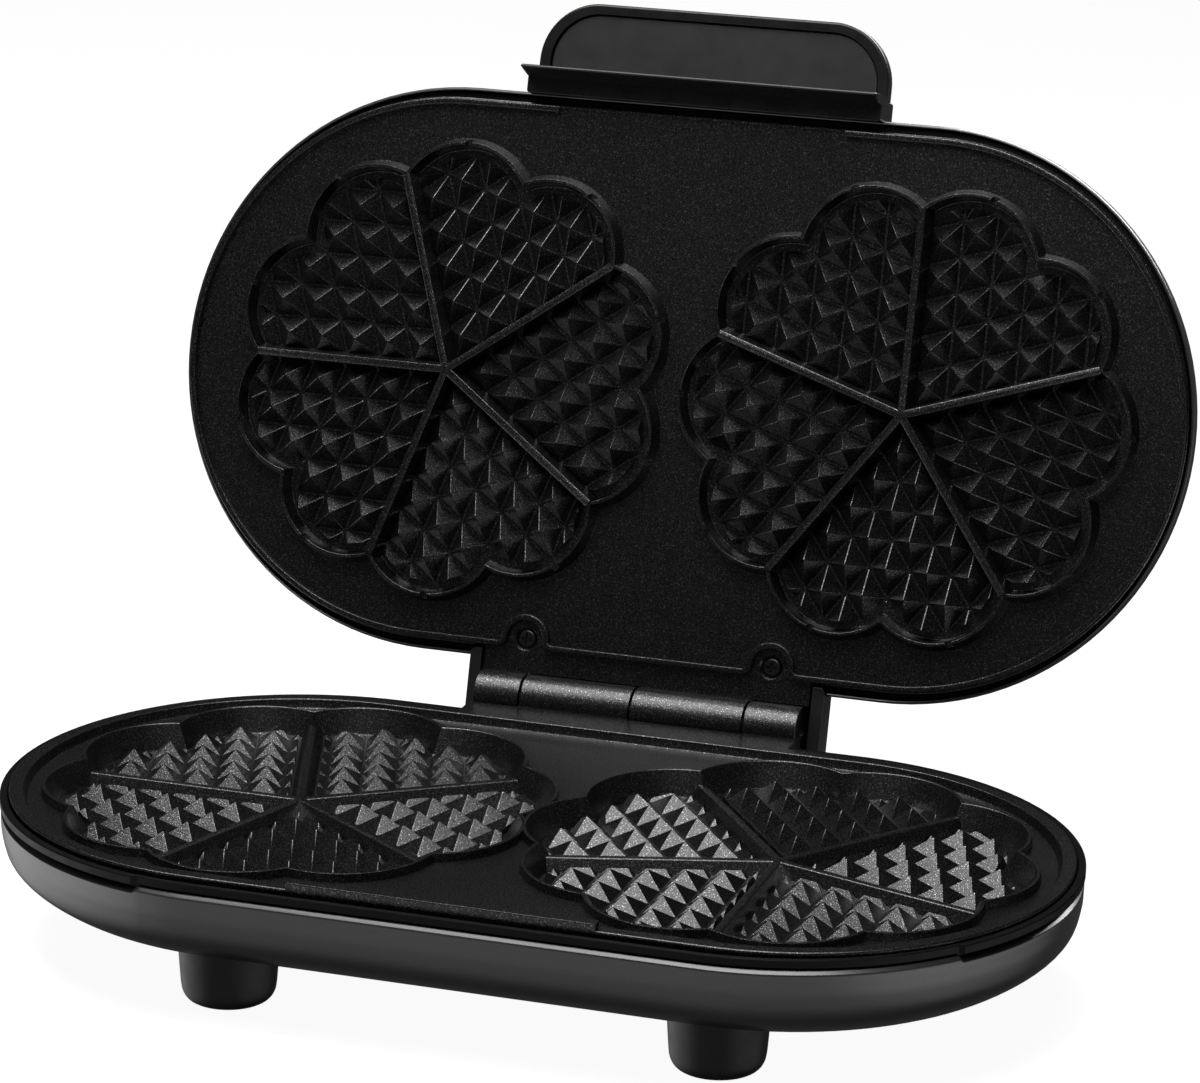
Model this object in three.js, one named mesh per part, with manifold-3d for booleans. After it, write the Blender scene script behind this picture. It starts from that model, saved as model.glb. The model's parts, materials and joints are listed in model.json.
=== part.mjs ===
// Twin heart-waffle maker, modelled open. Millimetres, +Z up, X along the long side,
// -Y towards the user. Pieces are laid out about the point midway between the two lower
// moulds; the whole group is then moved so that the origin lies on the bench at the
// centre of the open machine's footprint.
import * as THREE from 'three';
import Module from 'manifold-3d';

const wasm = await Module();
wasm.setup();

// ---- driving dimensions -------------------------------------------------
const LIP_Z = 51.5;            // top of the scalloped lip round each lower mould
const MOULD_X = 86.15;         // half spacing of the two mould centres
const CUSP_R = 80;             // radius of the cusps between two lobes, at the lip
const LOBE_R = 31.46;          // radius of one lobe arc
const LOBE_C = 56.62;          // lobe arc centre from the mould centre
const LOBE_SEG = 4;            // chords per lobe arc
const END_X = 89;              // centres of the rounded body ends
const BODY_Y = -0.5;           // centre line of the body outline
const END_SEG = 14;            // chords per body end
const RIM_R = 97.5;            // outer edge of the lower plate
const RIM_IN = 92;
const RIM_Z = LIP_Z + 0.5;
const DECK_Z = LIP_Z - 3;
const PLATE_T = 3;
const CAV_Z = LIP_Z - 9.2;     // floor of the lower mould
const RIDGE_Z = LIP_Z - 4.7;   // top of the dividing ridges
const APEX_Z = LIP_Z - 4;      // tips of the lower pyramids
const PITCH_LO = 12.66;        // pyramid pitch along a ridge, lower plate
const PITCH_UP = 12.9;         // the same, upper plate
const LATTICE_LO = 7.5;        // first lattice line from the ridge, lower plate
const LATTICE_UP = 1.7;        // first lattice line from the ridge, upper plate
const SHELL_R = 101.7;         // widest radius of the painted shells
const SHELL_X = 88;            // centres of the shells' rounded ends
const FOOT_DROP = 2.4;         // how far the feet reach below the drawing's zero
const HINGE_Y = 116.5;
const HINGE_Z = 52;
const OPEN_DEG = 105.8;        // lid angle as modelled
const BARREL_R = 9;
const PIN_R = 2.5;
const KNUCKLES = [-61, -43.5, -1.5, 41, 61];
// upper plate, written as if the lid were shut
const UP_WALL_Z = LIP_Z - 2;   // lower edge of the scalloped wall
const UP_RIDGE_Z = LIP_Z - 2.6;
const UP_DECK_Z = LIP_Z + 3.7;
const UP_FLOOR_Z = LIP_Z + 5;
const UP_APEX_Z = LIP_Z - 1.5;
const UP_BEAD_Z = LIP_Z + 1.2;
const UP_EDGE_R = 99.6;
const UP_WALL_D = -4.3;        // wall outline offset from the lip outline
const TAB_X = 53.5;
const FOOT_X = 86, FOOT_Y = 66, REAR_FOOT_Y = 80;
const SCREW_X = 46.6, SCREW_Y = 95;
const FOOTPRINT_Y = 49.4;       // centre of the open machine's footprint, from the mould centres
const BOSSES = [[-44, 82], [44, 82], [0, -82]];  // lower plate fixings

// ---- geometry helpers ---------------------------------------------------
const rad = (d) => d * Math.PI / 180;

function poly(verts, faces) {
  const g = new THREE.BufferGeometry();
  g.setAttribute('position', new THREE.Float32BufferAttribute(verts.flat(), 3));
  g.setIndex(faces.flat());
  return g;
}

// skin through rings of equal point count; rings run counter-clockwise seen from +Z
function loft(rings, closed = false) {
  const n = rings[0].length, verts = [], faces = [];
  for (const r of rings) for (const p of r) verts.push(p);
  const m = rings.length;
  for (let k = 0; k < (closed ? m : m - 1); k++) {
    const a = k * n, b = ((k + 1) % m) * n;
    for (let i = 0; i < n; i++) {
      const j = (i + 1) % n;
      faces.push([a + i, a + j, b + j], [a + i, b + j, b + i]);
    }
  }
  if (!closed) {
    const cap = (r, off, flip) => {
      const c = r.map((p) => new THREE.Vector2(p[0], p[1]));
      for (const t of THREE.ShapeUtils.triangulateShape(c, []))
        faces.push(flip ? [off + t[0], off + t[2], off + t[1]] : [off + t[0], off + t[1], off + t[2]]);
    };
    cap(rings[0], 0, true);
    cap(rings[m - 1], (m - 1) * n, false);
  }
  return poly(verts, faces);
}

const at = (pts, z) => pts.map((p) => [p[0], p[1], z]);

function stadium(r, cx = END_X, cy = BODY_Y, n = END_SEG) {
  const p = [];
  for (let i = 0; i <= n; i++) { const t = -Math.PI / 2 + Math.PI * i / n; p.push([cx + r * Math.cos(t), cy + r * Math.sin(t)]); }
  for (let i = 0; i <= n; i++) { const t = Math.PI / 2 + Math.PI * i / n; p.push([-cx + r * Math.cos(t), cy + r * Math.sin(t)]); }
  return p;
}

function circle(r, cx = 0, cy = 0, n = 24, ph = 0) {
  const p = [];
  for (let i = 0; i < n; i++) { const t = ph + 2 * Math.PI * i / n; p.push([cx + r * Math.cos(t), cy + r * Math.sin(t)]); }
  return p;
}

const rect = (x0, y0, x1, y1) => [[x0, y0], [x1, y0], [x1, y1], [x0, y1]];

// ten-lobed outline, offset outward by d; phase ph measured clockwise from +Y
function lobed(cx, ph, sgn, d, n = LOBE_SEG) {
  const R = LOBE_R + d, h = Math.sqrt(R * R - (LOBE_C * Math.sin(Math.PI / 10)) ** 2);
  const cusp = LOBE_C * Math.cos(Math.PI / 10) + h;
  const half = Math.atan2(cusp * Math.sin(Math.PI / 10), cusp * Math.cos(Math.PI / 10) - LOBE_C);
  const out = [];
  for (let k = 0; k < 10; k++) {
    const tm = ph + (k + 0.5) * Math.PI / 5;
    for (let i = 0; i < n; i++) {
      const b = -half + 2 * half * i / n;
      const u = R * Math.sin(b), v = LOBE_C + R * Math.cos(b);
      out.push([cx + u * Math.cos(tm) + v * Math.sin(tm), sgn * (-u * Math.sin(tm) + v * Math.cos(tm))]);
    }
  }
  // clockwise in a sgn=+1 frame, so reverse to counter-clockwise
  return sgn > 0 ? out.reverse() : out;
}

function man(g) {
  const geo = g.index ? g : g;
  const pos = geo.getAttribute('position');
  const map = new Map(), verts = [], idx = [];
  const key = (i) => [pos.getX(i), pos.getY(i), pos.getZ(i)].map((v) => Math.round(v * 1e4)).join();
  const remap = [];
  for (let i = 0; i < pos.count; i++) {
    const k = key(i);
    if (!map.has(k)) { map.set(k, verts.length / 3); verts.push(pos.getX(i), pos.getY(i), pos.getZ(i)); }
    remap.push(map.get(k));
  }
  const src = geo.index ? Array.from(geo.index.array) : [...Array(pos.count).keys()];
  for (let i = 0; i < src.length; i += 3) {
    const [a, b, c] = [remap[src[i]], remap[src[i + 1]], remap[src[i + 2]]];
    if (a !== b && b !== c && a !== c) idx.push(a, b, c);
  }
  return new wasm.Manifold(new wasm.Mesh({ numProp: 3, vertProperties: new Float32Array(verts), triVerts: new Uint32Array(idx) }));
}

function geo(m) {
  const mesh = m.getMesh();
  const g = new THREE.BufferGeometry();
  const n = mesh.numProp, v = [];
  for (let i = 0; i < mesh.vertProperties.length / n; i++)
    v.push(mesh.vertProperties[i * n], mesh.vertProperties[i * n + 1], mesh.vertProperties[i * n + 2]);
  g.setAttribute('position', new THREE.Float32BufferAttribute(v, 3));
  g.setIndex(Array.from(mesh.triVerts));
  return g;
}

const prism = (pts, z0, z1) => man(loft([at(pts, z0), at(pts, z1)]));
const box = (x0, y0, z0, x1, y1, z1) => prism(rect(x0, y0, x1, y1), z0, z1);
const union = (...a) => a.reduce((p, q) => p.add(q));

// cylinder along X between x0 and x1
function barX(r, x0, x1, y, z, n = 20, ph = 0) {
  const g = loft([at(circle(r, 0, 0, n, ph), x0), at(circle(r, 0, 0, n, ph), x1)]);
  // (u,v,w) -> (w,u,v)
  g.applyMatrix4(new THREE.Matrix4().set(0, 0, 1, 0, 1, 0, 0, y, 0, 1, 0, z, 0, 0, 0, 1));
  return man(g);
}
// cylinder along Y
function barY(r, y0, y1, x, z, n = 16) {
  const g = loft([at(circle(r, 0, 0, n), -y1), at(circle(r, 0, 0, n), -y0)]);
  g.applyMatrix4(new THREE.Matrix4().set(1, 0, 0, x, 0, 0, -1, 0, 0, 1, 0, z, 0, 0, 0, 1));
  return man(g);
}

function inside([x, y], pts) {
  let c = false;
  for (let i = 0, j = pts.length - 1; i < pts.length; j = i++) {
    const [a, b] = [pts[i], pts[j]];
    if ((a[1] > y) !== (b[1] > y) && x < (b[0] - a[0]) * (y - a[1]) / (b[1] - a[1]) + a[0]) c = !c;
  }
  return c;
}

// one heart-shaped field of rhombic pyramids, points given in the mould frame
function field(cx, sgn, t1, off, pitch, zBase, zFloor, zApex, edge, N = 6) {
  const t2 = t1 + 2 * Math.PI / 5;
  const u1 = [Math.sin(t1), Math.cos(t1)], u2 = [Math.sin(t2), Math.cos(t2)];
  const k = off / Math.sin(2 * Math.PI / 5);
  const P = (i, j) => {
    const a = k + pitch * i, b = k + pitch * j;
    return [cx + u1[0] * a + u2[0] * b, sgn * (u1[1] * a + u2[1] * b)];
  };
  const v = [], f = [];
  const top = (i, j) => i * (N + 1) + j, M = (N + 1) * (N + 1);
  for (let i = 0; i <= N; i++) for (let j = 0; j <= N; j++) v.push([...P(i, j), zFloor]);
  // tips that would fall outside the mould wall stay flat
  for (let i = 0; i < N; i++) for (let j = 0; j < N; j++) {
    const p = P(i + 0.5, j + 0.5);
    v.push([...p, inside(p, edge) ? zApex : zFloor]);
  }
  const apex = (i, j) => M + i * N + j;
  for (let i = 0; i < N; i++) for (let j = 0; j < N; j++) {
    const c = [top(i, j), top(i + 1, j), top(i + 1, j + 1), top(i, j + 1)];
    for (let q = 0; q < 4; q++) f.push([c[q], c[(q + 1) % 4], apex(i, j)]);
  }
  const rim = [];
  for (let i = 0; i < N; i++) rim.push(top(i, 0));
  for (let j = 0; j < N; j++) rim.push(top(N, j));
  for (let i = N; i > 0; i--) rim.push(top(i, N));
  for (let j = N; j > 0; j--) rim.push(top(0, j));
  const base = v.length;
  for (const r of rim) v.push([v[r][0], v[r][1], zBase]);
  for (let q = 0; q < rim.length; q++) {
    const w = (q + 1) % rim.length;
    f.push([rim[w], rim[q], base + q], [rim[w], base + q, base + w]);
  }
  const c0 = v.length;
  v.push([...P(N / 2, N / 2), zBase]);
  for (let q = 0; q < rim.length; q++) f.push([base + q, c0, base + (q + 1) % rim.length]);
  let m = man(poly(v, f));
  if (m.volume() < 0) m = man(poly(v, f.map((t) => [t[0], t[2], t[1]])));
  return m;
}

// heart sector between two ridges, as a clipping prism
function sector(cx, sgn, t1, z0, z1) {
  const t2 = t1 + 2 * Math.PI / 5, R = 130, tm = (t1 + t2) / 2;
  const pts = [[0, 0], [R * Math.sin(t1), R * Math.cos(t1)], [R * 1.3 * Math.sin(tm), R * 1.3 * Math.cos(tm)], [R * Math.sin(t2), R * Math.cos(t2)]]
    .map(([x, y]) => [cx + x, sgn * y]);
  if (THREE.ShapeUtils.area(pts.map((p) => new THREE.Vector2(...p))) < 0) pts.reverse();
  return prism(pts, Math.min(z0, z1), Math.max(z0, z1));
}

// dividing ridge from the mould centre outwards, flat-topped with sloping flanks
function ridge(cx, sgn, t, len, zBot, zTop, wBot, wTop) {
  const d = [Math.sin(t), sgn * Math.cos(t)], n = [-d[1], d[0]];
  const at2 = (s, w, z) => [cx + d[0] * s + n[0] * w, d[1] * s + n[1] * w, z];
  const q = (w, z) => [at2(0, -w, z), at2(len, -w, z), at2(len, w, z), at2(0, w, z)];
  const rings = zBot < zTop ? [q(wBot / 2, zBot), q(wTop / 2, zTop)] : [q(wTop / 2, zTop), q(wBot / 2, zBot)];
  return man(loft(rings));
}

// closed strip of width w following a path, extruded z0..z1
function strip(path, w, z0, z1) {
  const n = path.length, L = [], R = [];
  for (let i = 0; i < n; i++) {
    const a = path[(i + n - 1) % n], b = path[i], c = path[(i + 1) % n];
    let dx = c[0] - a[0], dy = c[1] - a[1];
    const l = Math.hypot(dx, dy); dx /= l; dy /= l;
    L.push([b[0] + dy * w / 2, b[1] - dx * w / 2]); R.push([b[0] - dy * w / 2, b[1] + dx * w / 2]);
  }
  return man(loft([at(L, z0), at(L, z1), at(R, z1), at(R, z0)], true));
}

// ---- assembly bookkeeping ----------------------------------------------
const root = new THREE.Group();
root.name = 'waffle_maker';
root.position.set(0, -FOOTPRINT_Y, FOOT_DROP);
const openLid = new THREE.Matrix4()
  .makeTranslation(0, HINGE_Y, HINGE_Z)
  .multiply(new THREE.Matrix4().makeRotationX(-rad(OPEN_DEG)))
  .multiply(new THREE.Matrix4().makeTranslation(0, -HINGE_Y, -HINGE_Z));
const COL = {
  coat: [0x24262a, 0.55, 0.35], paint: [0x55585e, 0.35, 0.6], black: [0x17181a, 0.6, 0.05],
  rubber: [0x1b1c1e, 0.75, 0.0], steel: [0xa8abb0, 0.35, 0.9], sheet: [0xb9bcc0, 0.4, 0.85],
  heater: [0x7d7469, 0.5, 0.7], ceramic: [0xe6e1d5, 0.7, 0.0], red: [0xc22a20, 0.2, 0.0], green: [0x2f9a4a, 0.2, 0.0],
  brass: [0xb89b55, 0.4, 0.9],
};
function add(name, m, col, lid = false) {
  const g = m.isBufferGeometry ? m : geo(m);
  if (lid) g.applyMatrix4(openLid);
  const [c, r, mt] = COL[col];
  const mesh = new THREE.Mesh(g, new THREE.MeshStandardMaterial({ color: c, roughness: r, metalness: mt, flatShading: true }));
  mesh.material.name = col;
  mesh.name = name;
  root.add(mesh);
}

const MOULDS = [
  { cx: -MOULD_X, lo: rad(-18), up: rad(-18) },
  { cx: MOULD_X, lo: rad(-36), up: rad(0) },
];

// ---- lower plate ---------------------------------------------------------
{
  const r = (q, z) => at(stadium(q), z);
  let m = man(loft([
    r(RIM_R - 2.2, DECK_Z - PLATE_T), r(RIM_R, DECK_Z - PLATE_T + 1.6), r(RIM_R, RIM_Z - 1), r(RIM_R - 1, RIM_Z),
    r(RIM_IN + 1, RIM_Z), r(RIM_IN, RIM_Z - 0.8), r(RIM_IN - 1, DECK_Z),
  ]));
  // hinge land behind the rim, front tab
  m = m.add(box(-62, 94, RIM_Z - 7, 62, HINGE_Y - 3, RIM_Z));
  m = m.add(box(-TAB_X, BODY_Y - RIM_R, RIM_Z - 3, TAB_X, BODY_Y - RIM_R + 4, RIM_Z + 2.4));
  for (const { cx, lo } of MOULDS) {
    // mould body and lip
    m = m.add(man(loft([at(lobed(cx, lo, 1, 1.6), DECK_Z - 0.5), at(lobed(cx, lo, 1, 1.3), LIP_Z)])));
    m = m.add(prism(circle(90, cx, 0, 24), CAV_Z - PLATE_T, DECK_Z - PLATE_T + 0.5));
  }
  for (const { cx, lo } of MOULDS)
    m = m.subtract(man(loft([at(lobed(cx, lo, 1, -4.1), CAV_Z), at(lobed(cx, lo, 1, 0.2), LIP_Z + 0.5)])));
  for (const { cx, lo } of MOULDS) {
    for (let k = 0; k < 5; k++) {
      const t = lo + k * 2 * Math.PI / 5;
      m = m.add(ridge(cx, 1, t, CUSP_R + 0.2, CAV_Z - 1, RIDGE_Z, 5.6, 2.2));
      const clip = prism(lobed(cx, lo, 1, -5.3, 2), CAV_Z - 0.8, LIP_Z).intersect(sector(cx, 1, t, CAV_Z - 0.8, LIP_Z));
      m = m.add(field(cx, 1, t, LATTICE_LO, PITCH_LO, CAV_Z - 1, CAV_Z, APEX_Z, lobed(cx, lo, 1, -7)).intersect(clip));
    }
  }
  // knuckle clearances, knuckles and pin bore
  for (const [a, b] of [[0, 1], [2, 3]]) m = m.subtract(barX(BARREL_R + 0.8, KNUCKLES[a] - (a ? 0 : 3), KNUCKLES[b] , HINGE_Y, HINGE_Z, 20));
  for (const [a, b] of [[1, 2], [3, 4]]) m = m.add(barX(BARREL_R, KNUCKLES[a] + 0.3, KNUCKLES[b] - (b < 4 ? 0.3 : 0), HINGE_Y, HINGE_Z, 20));
  m = m.subtract(barX(PIN_R + 0.3, -70, 70, HINGE_Y, HINGE_Z, 12));
  // screw bosses under the deck
  for (const [x, y] of BOSSES) m = m.add(prism(circle(4.2, x, y, 10), CAV_Z - PLATE_T, DECK_Z - 1)).subtract(prism(circle(1.9, x, y, 8), CAV_Z - PLATE_T - 1, DECK_Z - 2.2));
  add('lower_plate', m, 'coat');
}
// ---- upper plate (written shut, then swung open) --------------------------
{
  const r = (q, z) => at(stadium(q), z);
  let m = man(loft([r(UP_EDGE_R, UP_DECK_Z), r(UP_EDGE_R, UP_DECK_Z + PLATE_T)]));
  m = m.add(box(-62, 94, UP_DECK_Z, 62, HINGE_Y - 3, UP_DECK_Z + 4.5));
  // perimeter bead with loops round the two screws
  const R = UP_EDGE_R - 1.6, path = [];
  const yTop = BODY_Y + R;
  for (let i = 0; i <= END_SEG; i++) { const t = -Math.PI / 2 + Math.PI * i / END_SEG; path.push([END_X + R * Math.cos(t), BODY_Y + R * Math.sin(t)]); }
  for (const sx of [SCREW_X, -SCREW_X]) {
    const q = yTop - SCREW_Y, w = 8;
    for (const e of [1, 0.5]) path.push([sx + w + q * Math.sin(e * Math.PI / 2), yTop - q + q * Math.cos(0) * Math.sqrt(Math.max(0, 1 - (1 - Math.sin(e * Math.PI / 2)) ** 2))]);
    for (let i = 0; i <= 8; i++) { const t = Math.PI * i / 8; path.push([sx + w * Math.cos(t), SCREW_Y - w * Math.sin(t)]); }
    for (const e of [0.5, 1]) path.push([sx - w - q * Math.sin(e * Math.PI / 2), yTop - q + q * Math.sqrt(Math.max(0, 1 - (1 - Math.sin(e * Math.PI / 2)) ** 2))]);
  }
  for (let i = 0; i <= END_SEG; i++) { const t = Math.PI / 2 + Math.PI * i / END_SEG; path.push([-END_X + R * Math.cos(t), BODY_Y + R * Math.sin(t)]); }
  let bead = strip(path, 2.2, UP_BEAD_Z, UP_DECK_Z + 0.5);
  bead = bead.subtract(box(-54, -110, UP_BEAD_Z - 1, 54, -90, UP_DECK_Z + 0.6));
  m = m.add(bead);
  m = m.subtract(box(-53.8, BODY_Y - UP_EDGE_R + 1.2, UP_DECK_Z - 1, 53.8, BODY_Y - UP_EDGE_R + 6.2, UP_DECK_Z + 1.2));
  for (const { cx, up } of MOULDS)
    m = m.add(man(loft([at(lobed(cx, up, -1, UP_WALL_D - 0.2), UP_WALL_Z), at(lobed(cx, up, -1, UP_WALL_D + 1.4), UP_DECK_Z + 0.5), at(lobed(cx, up, -1, -3), UP_FLOOR_Z + PLATE_T)])));
  for (const { cx, up } of MOULDS)
    m = m.subtract(man(loft([at(lobed(cx, up, -1, UP_WALL_D - 1.4), UP_WALL_Z - 0.5), at(lobed(cx, up, -1, UP_WALL_D - 2.4), UP_FLOOR_Z)])));
  for (const { cx, up } of MOULDS) {
    for (let k = 0; k < 5; k++) {
      const t = up + k * 2 * Math.PI / 5;
      m = m.add(ridge(cx, -1, t, 73.4, UP_FLOOR_Z + 1, UP_RIDGE_Z, 5.4, 1.5));
      const clip = prism(lobed(cx, up, -1, UP_WALL_D - 5, 2), UP_WALL_Z, UP_FLOOR_Z + 0.8).intersect(sector(cx, -1, t, UP_WALL_Z, UP_FLOOR_Z + 0.8));
      m = m.add(field(cx, -1, t, LATTICE_UP, PITCH_UP, UP_FLOOR_Z + 1, UP_FLOOR_Z, UP_APEX_Z, lobed(cx, up, -1, UP_WALL_D - 6.8)).intersect(clip));
    }
    // steam notches, one in the middle of every lobe
    for (let k = 0; k < 10; k++) {
      const t = up + (k + 0.5) * Math.PI / 5, d = [Math.sin(t), -Math.cos(t)], n = [-d[1], d[0]];
      const q = [[78.5, -1.3], [87, -1.3], [87, 1.3], [78.5, 1.3]].map(([s, w]) => [cx + d[0] * s + n[0] * w, d[1] * s + n[1] * w]);
      m = m.subtract(prism(q, UP_WALL_Z - 1, UP_WALL_Z + 3.2));
    }
  }
  for (const [a, b] of [[1, 2], [3, 4]]) m = m.subtract(barX(BARREL_R + 0.8, KNUCKLES[a], KNUCKLES[b] + (b < 4 ? 0 : 3), HINGE_Y, HINGE_Z, 20));
  for (const [a, b] of [[0, 1], [2, 3]]) m = m.add(barX(BARREL_R, KNUCKLES[a] + (a ? 0.3 : 0), KNUCKLES[b] - 0.3, HINGE_Y, HINGE_Z, 20));
  m = m.subtract(barX(PIN_R + 0.3, -70, 70, HINGE_Y, HINGE_Z, 12));
  for (const x of [-SCREW_X, SCREW_X]) {
    m = m.add(prism(circle(5.5, x, SCREW_Y, 12), UP_DECK_Z + 1, UP_DECK_Z + 5));
    m = m.subtract(prism(circle(3.7, x, SCREW_Y, 16), UP_DECK_Z - 1, UP_DECK_Z + 2.4)).subtract(prism(circle(1.9, x, SCREW_Y, 12), UP_DECK_Z, UP_DECK_Z + 7));
  }
  add('upper_plate', m, 'coat', true);
}

// ---- base housing --------------------------------------------------------
const skin = (prof, n = END_SEG, cx = SHELL_X) => prof.map(([r, z]) => at(stadium(r, cx, BODY_Y, n), z));
const BASE_OUT = [[72, 17.4], [84, 19.4], [93, 24.3], [99.2, 30.4], [101.4, 37.4], [SHELL_R, 43.8], [100.8, 47.3]];
const BASE_IN = [[99.6, 47.3], [99.9, 43.5], [99.5, 37.4], [97.2, 31.7], [91.6, 26.3], [83.4, 21.6], [72, 19.5]];
const FEET = [
  ['front_left', -FOOT_X, -FOOT_Y], ['front_right', FOOT_X, -FOOT_Y],
  ['rear_left', -FOOT_X, REAR_FOOT_Y], ['rear_right', FOOT_X, REAR_FOOT_Y],
];
const GLAND_X = -80, GLAND_Z = 40;
{
  let m = man(loft(skin([...BASE_OUT, ...BASE_IN])));
  m = m.subtract(box(-62.6, 92, 44.5, 62.6, 112, 60));
  for (const [, x, y] of FEET) m = m.subtract(prism(circle(2.1, x, y, 8), 15, 32));
  m = m.subtract(barY(5.4, 94, 106, GLAND_X, GLAND_Z, 12));
  add('base_shell', m, 'paint');
}
{
  let m = man(loft(skin([[91.2, 43], [98.9, 43], [98.9, 48.6], [101, 48.7], [100.9, 50.4], [98.4, 50.7], [98.2, 45], [91.2, 45]], END_SEG, 88.5), true));
  m = m.subtract(box(-62.6, 92, 44.4, 62.6, 112, 60));
  add('base_ring', m, 'black');
}
add('lower_reflector', (() => {
  let m = man(loft(skin([[84.5, 28], [91.6, 33], [94.2, 42.4], [93.4, 42.4], [90.9, 33.4], [84.1, 28.8]], 12, END_X)));
  for (const [x, y] of BOSSES) m = m.subtract(prism(circle(2.1, x, y, 8), 26, 31));
  return m;
})(), 'sheet');

// tubular heater looping under both moulds, ends brought to the rear middle
function heater(z, r = 3.2) {
  const p = [[-15, 76], [-22, 60], [-38, 50]];
  for (let i = 0; i <= 6; i++) { const t = rad(50 + i * 40); p.push([-MOULD_X + 50 * Math.cos(t), 50 * Math.sin(t)]); }
  p.push([-30, -58], [30, -58]);
  for (let i = 0; i <= 6; i++) { const t = rad(-110 + i * 40); p.push([MOULD_X + 50 * Math.cos(t), 50 * Math.sin(t)]); }
  p.push([38, 50], [22, 60], [15, 76]);
  const curve = new THREE.CatmullRomCurve3(p.map(([x, y]) => new THREE.Vector3(x, y, z)), false, 'centripetal');
  const s = new THREE.Shape(circle(r, 0, 0, 6, Math.PI / 6).map((q) => new THREE.Vector2(...q)));
  let m = man(new THREE.ExtrudeGeometry(s, { steps: 36, extrudePath: curve, bevelEnabled: false }));
  return m;
}
add('lower_element', heater(33.4), 'heater');
add('lower_thermostat', union(prism(circle(7.5, 0, 10, 14), 32.4, 36.5), box(-5, 5, 29.8, 5, 15, 33)), 'ceramic');
add('thermal_fuse', barX(2.6, -9, 9, 30, 33.6, 10), 'steel');
add('terminal_block', union(box(-11, 60, 29.2, 11, 72, 35.5), box(-8, 56, 29.2, -5, 61, 32), box(5, 56, 29.2, 8, 61, 32)), 'ceramic');
add('cord_gland', union(barY(5, 98.7, 103.4, GLAND_X, GLAND_Z, 12), barY(7.6, 101.6, 104.4, GLAND_X, GLAND_Z, 12), barY(5.6, 104, 111.4, GLAND_X, GLAND_Z, 12))
  .subtract(barY(3.5, 90, 120, GLAND_X, GLAND_Z, 10)), 'black');
add('lid_stop', union(box(-42, 101.6, 31, 42, 105, 44.2), box(-42, 101.6, 33.5, 42, 115.1, 41.4)), 'black');
for (const [i, [x, y]] of BOSSES.entries())
  add(`lower_plate_screw_${['rear_left', 'rear_right', 'front'][i]}`, union(prism(circle(3, x, y, 10), 26.1, 27.6), prism(circle(1.6, x, y, 8), 27.3, 44.5)), 'steel');
for (const [n, x, y] of FEET) {
  const outer = man(loft(skin([[71, 17], [84.2, 19], [93.4, 24], [99.6, 30.2], [101.9, 37.3]])));
  let m = man(loft([at(circle(10.5, x, y, 16), -FOOT_DROP), at(circle(14, x, y, 16), -FOOT_DROP + 1.3), at(circle(15.8, x, y, 16), 2.8), at(circle(16.8, x, y, 16), 11), at(circle(18.2, x, y, 16), 33)]));
  m = m.subtract(outer).subtract(prism(circle(4.2, x, y, 10), -FOOT_DROP - 1, 8)).subtract(prism(circle(2, x, y, 8), 7, 22));
  add(`foot_${n}`, m, 'rubber');
  add(`foot_screw_${n}`, union(prism(circle(3.4, x, y, 10), 5.6, 7.7), prism(circle(1.6, x, y, 8), 7.4, 25)), 'steel');
}

// ---- hinge ---------------------------------------------------------------
add('hinge_pin', barX(PIN_R, -60.5, 60.5, HINGE_Y, HINGE_Z, 12), 'steel');

// ---- lid housing (written shut) -------------------------------------------
const LID_OUT = [[102, 56.6], [102.4, 62], [100.9, 68.5], [96.5, 74.6], [89, 79.6], [79, 82.8], [68, 84]];
const LID_IN = [[68, 82], [78.4, 80.9], [87.6, 77.9], [94.6, 73.4], [98.8, 67.8], [101, 61.4], [101.1, 56.6]];
const HANDLE_Y = -138.5;
{
  // outer skin going up, then back down the inside
  let m = man(loft(skin([...LID_IN, ...LID_OUT])));
  if (m.volume() < 0) throw new Error('lid skin inside out');
  for (const x of [-SCREW_X, SCREW_X]) m = m.add(prism(circle(3.6, x, SCREW_Y, 10), 61, 74.5)).subtract(prism(circle(1.9, x, SCREW_Y, 8), 60, 70));
  m = m.subtract(box(-67.9, 99.4, 50, 67.9, 135, 66.4));
  for (const x of [-9, 9]) m = m.subtract(prism(circle(3.4, x, -60, 12), 78, 90));
  for (const x of [-40, 40]) m = m.subtract(barY(2.2, -108, -96, x, 64, 10));
  add('lid_shell', m, 'paint', true);
}
{
  let m = man(loft(skin([[92, 58.7], [100.6, 58.7], [100.6, 60.2], [92, 60.2]]), true));
  if (m.volume() < 0) throw new Error('lid ring inside out');
  m = m.subtract(box(-67.9, 90, 50, 67.9, 112, 61));
  add('lid_ring', m, 'black', true);
}
add('hinge_cover', box(-67.5, 99.8, 54.5, 67.5, 129, 66).subtract(box(-62.9, 99, 50, 62.9, 126.6, 62)), 'black', true);
add('upper_reflector', man(loft(skin([[82, 69.4], [87, 66.7], [90, 60.7], [90.8, 60.7], [87.7, 67.3], [82.4, 70.2]], 8, END_X))), 'sheet', true);
add('upper_element', heater(63.1), 'heater', true);
add('upper_thermostat', union(prism(circle(7.5, 0, 10, 14), 60.1, 64), box(-5, 5, 63.5, 5, 15, 67)), 'ceramic', true);
for (const [s, x] of [['left', -1], ['right', 1]])
  add(`lid_plate_screw_${s}`, union(prism(circle(3.3, x * SCREW_X, SCREW_Y, 14), 55.9, 57.3), prism(circle(1.6, x * SCREW_X, SCREW_Y, 8), 57, 69))
    .subtract(box(x * SCREW_X - 2, SCREW_Y - 0.45, 55, x * SCREW_X + 2, SCREW_Y + 0.45, 56.8)).subtract(box(x * SCREW_X - 0.45, SCREW_Y - 2, 55, x * SCREW_X + 0.45, SCREW_Y + 2, 56.8)), 'steel', true);
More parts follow.
